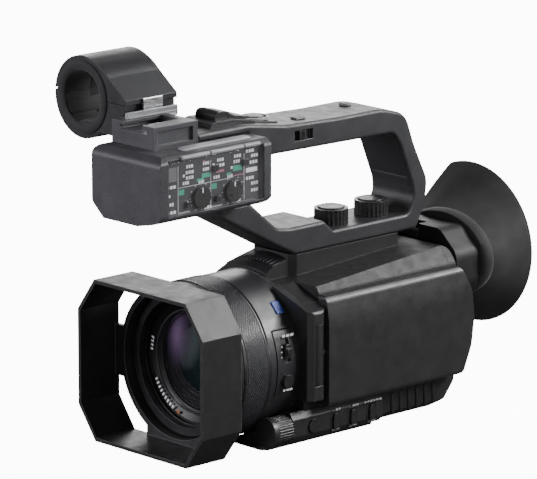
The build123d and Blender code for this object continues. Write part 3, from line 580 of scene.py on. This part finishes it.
def eyecup_flare():
    """The rubber cup: an outline drawn out section by section, cut flat on the nose side."""
    depth, middle, wide, tall = CUP_SECTIONS[0]
    cup = add("circle", vertices=72, radius=MM, location=(0, 0, 0), rotation=(math.pi / 2, 0, 0))
    cup.scale = (wide, 1, tall)
    cup.location = mm(middle, depth, EYE_Z)
    bpy.ops.object.transform_apply(location=True, rotation=True, scale=True)
    for before, after in zip(CUP_SECTIONS, CUP_SECTIONS[1:]):
        edit(cup, lambda edge: all(abs(cup.data.vertices[i].co.y / MM - before[0]) < 0.01
                                   for i in edge.vertices), "EDGE")
        step = mm(after[1] - before[1], after[0] - before[0], 0)
        bpy.ops.mesh.extrude_region_move(TRANSFORM_OT_translate={"value": step})
        bpy.ops.transform.resize(value=(after[2] / before[2], 1, after[3] / before[3]),
                                 center_override=mm(after[1], after[0], EYE_Z))
        close()
    edit(cup, lambda edge: True, "EDGE")
    bpy.ops.mesh.bisect(plane_co=mm(*CUP_CUT[0]), plane_no=Vector(CUP_CUT[1]).normalized(), clear_outer=True)
    bpy.ops.mesh.select_all(action="SELECT")
    bpy.ops.mesh.normals_make_consistent(inside=False)
    close()
    modifier(cup, "SOLIDIFY", thickness=2.0 * MM, offset=-1.0)
    modifier(cup, "BEVEL", width=0.6 * MM, segments=3, limit_method="ANGLE", angle_limit=math.radians(50))
    modifier(cup, "SUBSURF", levels=1, render_levels=1)
    settle(cup, "eyecup_flare", "rubber", "eyecup", 60)
    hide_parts("eyecup")


def eyepiece_ring():
    settle(lathe(ring(102.6, 105.4, 11.6, 14.0, 0.5), (10, 0, EYE_Z), (0, 1, 0)), "eyepiece_rim",
           "lens_black", "viewfinder_housing")
    wheel = lathe([(0, 0), (0, 3.6), (0.9, 3.6), (1.2, 3.3), (1.2, 0)], (-14.0, 97.0, 62.0), (-1, 0, 0),
                  steps=48)
    settle(wheel, "diopter_wheel", "button", "viewfinder_housing")


# ---- hand strap -------------------------------------------------------------------------
STRAP_PATH = ((-52.0, -9.0), (-57.6, 2.0), (-60.2, 18.0), (-60.4, 32.0), (-60.2, 46.0), (-57.6, 61.0),
              (-52.0, 72.0))
STRAP_LENGTH = 87.0
STRAP_MIDDLE = 37.0               # height of the strap's middle
STRAP_THICK = 3.6
STRAP_TALL = 34.0
STRAP_CUTS = 32                   # pieces along its length, so that it can bend
STITCH_PITCH = 2.2
STITCH_OUT = 2.05
STITCH_ROW_Z = 14.2               # rows of stitches, above and below the middle


def strap_line():
    """The line that the strap follows round the hand, just above the grip."""
    bpy.ops.object.select_all(action="DESELECT")
    bpy.ops.curve.primitive_nurbs_path_add(radius=MM)
    line = bpy.context.object
    line.data.splines.clear()
    spline = line.data.splines.new("NURBS")
    spline.points.add(len(STRAP_PATH) - 1)
    for point, (x, y) in zip(spline.points, STRAP_PATH):
        point.co = (*mm(x, y, STRAP_MIDDLE), 1.0)
    spline.use_endpoint_u, spline.order_u, spline.resolution_u = True, 4, 24
    return line


def along_strap(obj, line):
    """Bends a straight piece, laid along X from 0, round the strap's line."""
    return modifier(obj, "CURVE", object=line, deform_axis="POS_X")


def hand_strap_pad(line):
    """The padded strap, with a rolled edge and a crowned middle on both faces."""
    pad = add("cube", size=1.0)
    pad.scale = mm(STRAP_LENGTH, STRAP_THICK, STRAP_TALL)
    pad.location = mm(STRAP_LENGTH / 2, 0, 0)
    bpy.ops.object.transform_apply(location=True, rotation=True, scale=True)
    modifier(pad, "BEVEL", width=1.5 * MM, segments=4, limit_method="ANGLE")
    bpy.ops.object.mode_set(mode="EDIT")
    for i in range(1, STRAP_CUTS):
        bpy.ops.mesh.select_all(action="SELECT")
        bpy.ops.mesh.bisect(plane_co=mm(STRAP_LENGTH * i / STRAP_CUTS, 0, 0), plane_no=(1, 0, 0))
    close()
    for side in (1, -1):
        edit(pad, lambda face: face.normal.y * side > 0.99)
        bpy.ops.mesh.inset(thickness=1.6 * MM, depth=-0.45 * MM)
        bpy.ops.mesh.inset(thickness=0.7 * MM, depth=0.75 * MM)
        bpy.ops.mesh.inset(thickness=3.0 * MM, depth=0.5 * MM)
        close()
    modifier(pad, "SUBSURF", levels=1, render_levels=1)
    along_strap(pad, line)
    settle(pad, "hand_strap_pad", "strap", "hand_strap", 60)
    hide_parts("hand_strap")


def strap_stitches(line):
    """Two rows of stitches on each face of the strap: one stitch repeated, then bent with it."""
    stitch = add("uv_sphere", segments=8, ring_count=6, radius=0.5 * MM)
    stitch.scale = (1.5, 0.5, 0.5)
    stitch.location = mm(3.2, STITCH_OUT, STITCH_ROW_Z)
    bpy.ops.object.transform_apply(location=True, rotation=True, scale=True)
    modifier(stitch, "ARRAY", count=37, use_relative_offset=False, use_constant_offset=True,
             constant_offset_displace=mm(STITCH_PITCH, 0, 0))
    across, down = -2 * STITCH_OUT, -2 * STITCH_ROW_Z
    rows = [stitch] + [twin_of(stitch, (0, y, z)) for y, z in ((0, down), (across, 0), (across, down))]
    settle(along_strap(join(rows), line), "hand_strap_stitches", "thread", "hand_strap", 60)


def hand_strap():
    line = strap_line()
    hand_strap_pad(line)
    strap_stitches(line)
    bpy.data.objects.remove(line)
    for i, y in enumerate((-11.5, 74.5)):
        loop = slab((-54.6, y - 2.6, 24.0), (-50.5, y + 2.6, 50.0), 1.2, 0.5, 1.2, "-x")
        settle(loop, f"strap_loop_{i + 1}", "button", "strap_anchors")


# ---- audio box --------------------------------------------------------------------------
PANEL = (28.6, -92.5, 121.8)       # front lower corner of the control recess floor
PANEL_SIZE = (60.0, 25.4)
PIN_CIRCLE = 4.6                   # radius of the three contacts in a microphone socket


def printed(rects):
    """Places given as shares of the panel, turned into millimetres."""
    wide, tall = PANEL_SIZE
    return [(u * wide, v * tall, w * wide, h * tall) for u, v, w, h in rects]


def audio_panel_print():
    """Plain bars and blocks in a grid that stand for the panel's printed guide."""
    lines = [(c, 0.47, 0.007, 0.86) for c in (0.13, 0.47, 0.82)]
    lines += [(0.405, 0.49, 0.55, 0.016), (0.19, 0.02, 0.12, 0.022), (0.53, 0.02, 0.12, 0.022)]
    words = []
    for u, v, length in ((0.25, 0.86, 0.075), (0.25, 0.75, 0.09), (0.25, 0.65, 0.085), (0.42, 0.86, 0.07),
                         (0.42, 0.75, 0.07), (0.21, 0.56, 0.07), (0.57, 0.87, 0.075), (0.57, 0.77, 0.09),
                         (0.75, 0.88, 0.08), (0.74, 0.78, 0.07), (0.53, 0.56, 0.07), (0.06, 0.53, 0.10),
                         (0.05, 0.21, 0.07), (0.06, 0.06, 0.10), (0.88, 0.93, 0.09), (0.93, 0.83, 0.08),
                         (0.92, 0.71, 0.09), (0.88, 0.42, 0.09), (0.93, 0.31, 0.08), (0.93, 0.18, 0.08),
                         (0.44, 0.03, 0.08), (0.74, 0.05, 0.09), (0.37, 0.53, 0.06), (0.67, 0.53, 0.06)):
        words += dashes(u, v, length, 0.06, 3)
    words += [(0.19, 0.7, 0.02, 0.05), (0.5, 0.8, 0.02, 0.05), (0.69, 0.68, 0.02, 0.05),
              (0.04, 0.37, 0.02, 0.05), (0.9, 0.57, 0.12, 0.085)]
    green = [(0.42, 0.635, 0.085, 0.085), (0.36, 0.57, 0.07, 0.05), (0.75, 0.655, 0.09, 0.1),
             (0.66, 0.57, 0.05, 0.05), (0.165, 0.4, 0.055, 0.1), (0.505, 0.4, 0.055, 0.1)]
    pink = [(0.57, 0.66, 0.08, 0.05), (0.76, 0.52, 0.11, 0.02), (0.40, 0.9, 0.03, 0.03)]
    patch = [(0.065, 0.76, 0.1, 0.26)]
    for name, finish, rects, thick in (("lines", "print_grey", lines, 0.03),
                                       ("words", "print_white", words, 0.03),
                                       ("green", "print_green", green, 0.03),
                                       ("grey_patch", "print_dim", patch, 0.03),
                                       ("pink", "print_pink", pink, 0.035)):
        marks(f"audio_panel_{name}", printed(rects), finish, "audio_control_panel", PANEL,
              "+x", thick)


def audio_dial_tops():
    for i in (1, 2):
        node = f"level_dial_{i}"
        lo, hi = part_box(node)
        y, z, face = (lo.y + hi.y) / 2 / MM, (lo.z + hi.z) / 2 / MM, hi.x / MM
        marks(f"level_dial_pointer_{i}", [(y, z + 3.4, 0.7, 2.4)], "print_white", node,
              (face, 0, 0), "+x")
        ticks = [(y + 6.6 * math.cos(a), z + 6.6 * math.sin(a), 0.6, 0.6)
                 for a in (math.radians(30 * k - 60) for k in range(11))]
        marks(f"level_dial_ticks_{i}", ticks, "print_grey", "audio_control_panel",
              (PANEL[0], 0, 0), "+x")


def audio_box_trim():
    # Strip along the lid latch: its pale silver grey is a painted highlight.
    strip = slab((19.4, -77.0, 149.4), (24.6, -35.0, 151.2), 0.7, 0.3, 0.8)
    settle(strip, "latch_strip_painted_highlight", "silver", "audio_box")
    for i, (start, end) in enumerate(((-84.0, -66.6), (-66.0, -45.4), (-44.8, -35.0))):
        rod = lathe([(0, 0), (0, 0.85), (0.2, 1.05), (end - start - 0.2, 1.05), (end - start, 0.85),
                     (end - start, 0)], (30.2, start, 148.6), (0, 1, 0), steps=32)
        settle(rod, f"lid_hinge_barrel_{i + 1}", "silver", "audio_box")
    for i, (y, z) in enumerate(((-80.0, 133.0), (-47.0, 133.0))):
        name = f"microphone_socket_{i + 1}"
        insert = lathe([(0, 0), (0, 8.6), (0.6, 8.6), (0.9, 8.2), (0.4, 7.4), (0.4, 0)], (-16.9, y, z),
                       (-1, 0, 0), steps=72)
        settle(insert, name, "lens_black", "xlr_sockets")
        for k, angle in enumerate((30, 150, 270)):
            turn = math.radians(angle)
            spot = (-17.3, y + PIN_CIRCLE * math.cos(turn), z + PIN_CIRCLE * math.sin(turn))
            pin = lathe([(0, 0), (0, 1.5), (0.3, 1.5), (0.5, 1.2), (0.2, 0.8), (0.2, 0)], spot, (-1, 0, 0),
                        steps=32)
            settle(pin, f"{name}_contact_{k + 1}", "silver", "xlr_sockets")
        tab = slab((-18.4, y - 2.6, z + 7.6), (-16.6, y + 2.6, z + 10.4), 0.4, 0.3, 0.5, "-x")
        settle(tab, f"{name}_release", "button", "xlr_sockets")


# ---- microphone holder ------------------------------------------------------------------
MIC = (-44.0, 0.0, 165.8)         # axis of the microphone, along Y


def mic_linings():
    """A soft lining in each half of the clamp, with a lip at both ends and grip pads inside."""
    for name, node, keep in (("clamp_lining_upper", "mic_clamp", -1),
                             ("clamp_lining_lower", "mic_holder_base", 1)):
        sleeve = lathe([(47.7, 13.5), (47.7, 15.2), (48.3, 15.6), (48.3, 14.0), (79.9, 14.0), (79.9, 17.4),
                        (80.4, 17.8), (81.0, 17.2), (81.2, 15.6), (80.8, 13.6), (80.0, 12.9), (64.6, 12.9),
                        (64.0, 13.3), (63.4, 12.9), (48.2, 12.9), (47.7, 13.5)], MIC, steps=96)
        take(sleeve)
        bpy.ops.object.mode_set(mode="EDIT")
        bpy.ops.mesh.select_all(action="SELECT")
        bpy.ops.mesh.bisect(plane_co=mm(*MIC) + mm(0, 0, -0.15 * keep), plane_no=(0, 0, keep), use_fill=True,
                            clear_outer=True)
        close()
        settle(sleeve, name, "rubber", node, 40)
    for i, angle in enumerate((-58, 0, 58)):
        pad = slab((MIC[0] - 3.6, -79.0, MIC[2] - 13.3), (MIC[0] + 3.6, -50.0, MIC[2] - 12.0), 0.5, 0.3, 1.0)
        turned(pad, angle, "Y", MIC)
        settle(pad, f"clamp_pad_{i + 1}", "rubber", "mic_holder_base")


def shoe_plate():
    plate = slab((-10.4, -83.0, 158.4), (-8.8, -51.0, 163.6), 0.5, 0.7, 1.2, "+x")
    settle(plate, "holder_side_plate", "silver", "mic_holder_base")
    rail = slab((-9.4, -82.0, 160.6), (-8.4, -52.0, 161.4), 0.3)
    settle(rail, "holder_side_rail", "silver", "mic_holder_base")


# ---- handle -----------------------------------------------------------------------------
RECORD_Y = -10.7                  # record button on the handle
UPRIGHT = ((0, 0, 1), (1, 0, 0))  # a lathe axis that stands up


def handle_details():
    oval = lathe([(0, 5.2), (0, 7.2), (0.9, 7.2), (1.2, 6.8), (1.2, 6.0), (0.5, 5.3), (0, 5.2)],
                 (0, RECORD_Y, 152.4), *UPRIGHT, 72)
    spot = Matrix.Translation(mm(0, RECORD_Y, 0))
    oval.data.transform(spot @ Matrix.Diagonal((1, 1.02, 1, 1)) @ spot.inverted())
    settle(oval, "record_button_rim", "silver", "handle_control_panel")
    cap = lathe(button_profile(1.0, 4.7, -0.3), (0, RECORD_Y, 152.7), *UPRIGHT, 64)
    settle(cap, "handle_record_cap", "button", "handle_record_button")
    lamp = slab((3.6, 9.6, 149.6), (8.0, 16.0, 150.7), 0.6, 0.2, 0.6)
    settle(lamp, "tally_lamp", "print_dim", "handle_frame")
    stud = lathe(button_profile(1.2, 3.0), (-4.4, 53.8, 149.2), *UPRIGHT, 48)
    settle(stud, "handle_screw_cap", "print_dim", "handle_frame")
    marks("handle_zoom_marks", [(-4, -44.6, 3.0, 0.7), (4, -44.6, 3.0, 0.7), (0, -19.9, 6.0, 0.6)],
          "print_grey", "handle_control_panel",
          (0, 0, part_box("handle_control_panel")[1].z / MM - 2.0), "+z")
    for i in range(5):
        rib = slab((-6.2, -39.6 + 1.7 * i, 160.0 - 0.32 * i), (6.2, -38.8 + 1.7 * i, 160.9 - 0.32 * i), 0.25)
        settle(rib, f"rocker_rib_{i + 1}", "button", "handle_zoom_rocker")
    for i, node in enumerate(("thumb_knob_front", "thumb_knob_rear")):
        lo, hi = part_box(node)
        x, y = (lo.x + hi.x) / 2 / MM, (lo.y + hi.y) / 2 / MM
        disc = lathe([(0, 0), (0, 6.6), (0.5, 6.6), (0.8, 6.2), (0.6, 5.4), (0.6, 0)],
                     (x, y, hi.z / MM - 0.1), *UPRIGHT, 64)
        settle(disc, f"thumb_knob_disc_{i + 1}", "gloss", node)


# ---- body -------------------------------------------------------------------------------
def microphone_grille():
    """Fine ridges on the built-in microphone housing, over the lens."""
    rib = slab((-0.35, -9.0, 83.6), (0.35, 12.0, 84.5), 0.3)
    turned(rib, 11.0, "X", (0, 1.5, 84.0))
    rib.data.transform(Matrix.Translation(mm(0, 0, 1.0)))
    settle(rib, "grille_ridge_1", "box", "front_cover")
    ridges = [turned(copy_of(rib, f"grille_ridge_{i + 2}", (0, 0, 0), "front_cover"), angle, "Y", AXIS)
              for i, angle in enumerate([a for a in range(-30, 18, 3) if a])]
    settle(join([rib] + ridges), "microphone_grille", "box", "front_cover")


def monitor_side():
    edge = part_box("control_strip")[1].x / MM
    words = dashes(5, 14.6, 3.6, 0.9, 2) + dashes(16.5, 14.6, 4.4, 0.9, 3) + dashes(28, 14.6, 12.0, 0.9, 6)
    marks("strip_labels", words, "print_grey", "control_strip", (edge, 0, 0), "+x")
    for i in range(6):
        rib = slab((38.3, 44.0 + 5.6 * i, 4.0), (39.1, 46.4 + 5.6 * i, 14.6), 0.4)
        settle(rib, f"side_rib_{i + 1}", "body", "left_body_shell")
    for i, y in enumerate((5.0, 16.5, 29.0)):
        collar = slab((40.0, y - 3.2, 3.4), (40.8, y + 3.2, 13.4), 0.35, 0.5, 0.8, "+x")
        settle(collar, f"side_button_rim_{i + 1}", "gloss", "control_strip")


def rear_and_base():
    lo, hi = (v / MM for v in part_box("battery"))
    for i in range(5):
        z = 13.0 + 5.4 * i
        rib = slab((lo.x + 5.0, hi.y - 0.6, z), (hi.x - 5.0, hi.y + 0.5, z + 1.6), 0.4)
        settle(rib, f"battery_grip_rib_{i + 1}", "battery", "battery")
    card_lo, card_hi = (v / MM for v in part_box("card_door"))
    notch = slab((card_lo.x + 7.0, card_hi.y - 0.5, card_hi.z - 6.0),
                 (card_hi.x - 7.0, card_hi.y + 0.5, card_hi.z - 3.2), 0.4, 0.4, 0.6, "+y")
    settle(notch, "card_door_notch", "button", "card_door")
    screw = lathe([(0, 0), (0, 2.6), (0.3, 2.6), (0.6, 2.1), (0.6, 0.9), (0.2, 0.7), (0.2, 0)],
                  (-24, -30, 0.45), (0, 0, -1), (1, 0, 0), 32)
    settle(screw, "base_screw_1", "steel", "base_plate")
    for i, (x, y) in enumerate(((53.0, 0.0), (0.0, 60.0), (53.0, 60.0))):
        copy_of(screw, f"base_screw_{i + 2}", (x, y, 0), "base_plate")


def build_pieces():
    focus_ring_grip()
    lens_inside()
    name_ring_marks()
    barrel_fittings()
    eyecup_flare()
    eyepiece_ring()
    hand_strap()
    audio_panel_print()
    audio_dial_tops()
    audio_box_trim()
    mic_linings()
    shoe_plate()
    handle_details()
    microphone_grille()
    monitor_side()
    rear_and_base()


# ---- studio -----------------------------------------------------------------------------
def area_light(name, place, target, size, power, colour):
    light = bpy.data.lights.new(name, "AREA")
    light.shape = "RECTANGLE"
    light.size, light.size_y = size
    light.energy = power
    light.color = colour
    obj = bpy.data.objects.new(name, light)
    obj.location = place
    obj.rotation_euler = (Vector(target) - Vector(place)).to_track_quat("-Z", "Y").to_euler()
    bpy.context.scene.collection.objects.link(obj)


BACKDROP_LEVEL = 12.0              # how bright the backdrop looks to the camera
ROOM_LEVEL = 0.16                  # how much light it throws on the camcorder


def studio_floor():
    """A wide pale floor that throws little light back up at the camera body."""
    bpy.ops.mesh.primitive_plane_add(size=30, location=(0, 0, -0.0006))
    floor = bpy.context.object
    floor.name = "floor"
    g = Graph("pale_floor")
    seen = g.add("ShaderNodeLightPath").outputs["Is Camera Ray"]
    pale = g.blend(g.ramp(g.noise(3.0), 0.3, 0.7), (0.60, 0.60, 0.60), (0.62, 0.62, 0.62))
    g.join(g.blend(seen, (0.10, 0.10, 0.10), pale), g.shader.inputs["Base Color"])
    g.set(Roughness=0.9, Specular_IOR_Level=0.0, Emission_Color=(1, 1, 1, 1))
    g.join(g.sum(seen, None, "MULTIPLY", BACKDROP_LEVEL * 0.95), g.shader.inputs["Emission Strength"])
    floor.data.materials.append(g.mat)


def studio_air():
    """A bright backdrop to look at, in a dim room."""
    world = bpy.data.worlds.new("studio_air")
    world.use_nodes = True
    tree = world.node_tree
    back = tree.nodes["Background"]
    back.inputs["Color"].default_value = (1, 1, 1, 1)
    path = tree.nodes.new("ShaderNodeLightPath")
    level = tree.nodes.new("ShaderNodeMapRange")
    level.inputs["To Min"].default_value = ROOM_LEVEL
    level.inputs["To Max"].default_value = BACKDROP_LEVEL
    tree.links.new(path.outputs["Is Camera Ray"], level.inputs["Value"])
    tree.links.new(level.outputs["Result"], back.inputs["Strength"])
    bpy.context.scene.world = world


WHITE = (1, 1, 1)
MIDDLE = (0, 0, 0.08)
# name, place, target, size, power and colour of each light
LIGHTS = (
    ("overhead_back", (0.45, 1.05, 1.2), MIDDLE, (0.9, 0.5), 10.0, WHITE),
    ("front_left", (-0.8, -1.5, 0.6), MIDDLE, (0.7, 0.9), 17.0, WHITE),
    ("front_fill", (1.6, -1.7, 0.35), (0, -0.05, 0.05), (0.8, 0.6), 9.0, WHITE),
    ("right_side", (1.6, 0.9, 0.5), MIDDLE, (0.5, 0.9), 5.0, WHITE),
    ("back_left", (-1.3, 1.4, 0.7), MIDDLE, (0.8, 0.8), 8.0, WHITE),
    ("monitor_glow", (0.36, 0.33, 0.34), (0.045, 0.04, 0.078), (0.34, 0.10), 3.2, WHITE),
    ("lens_glow", (-0.5, -1.1, 0.35), (0, -0.05, 0.04), (0.35, 0.5), 3.0, (0.86, 0.8, 1.0)),
)


def studio():
    studio_floor()
    studio_air()
    for light in LIGHTS:
        area_light(*light)


CAMERA_PLACE = (1.59209, -1.48157, 0.60824)
CAMERA_TURN = (47.08, 13.37)       # degrees round from the front, and degrees up
CAMERA_LENS = 312.0


def camera():
    azimuth, elevation = (math.radians(angle) for angle in CAMERA_TURN)
    back = Vector((math.sin(azimuth) * math.cos(elevation), -math.cos(azimuth) * math.cos(elevation),
                   math.sin(elevation)))
    data = bpy.data.cameras.new("camera")
    data.lens, data.sensor_width = CAMERA_LENS, 36.0
    data.clip_start, data.clip_end = 0.05, 50.0
    obj = bpy.data.objects.new("camera", data)
    obj.location = CAMERA_PLACE
    obj.rotation_euler = (-back).to_track_quat("-Z", "Y").to_euler()
    bpy.context.scene.collection.objects.link(obj)
    bpy.context.scene.camera = obj


bpy.ops.object.select_all(action="DESELECT")
FINISHES = make_finishes()
finish_nodes()
build_pieces()
studio()
camera()
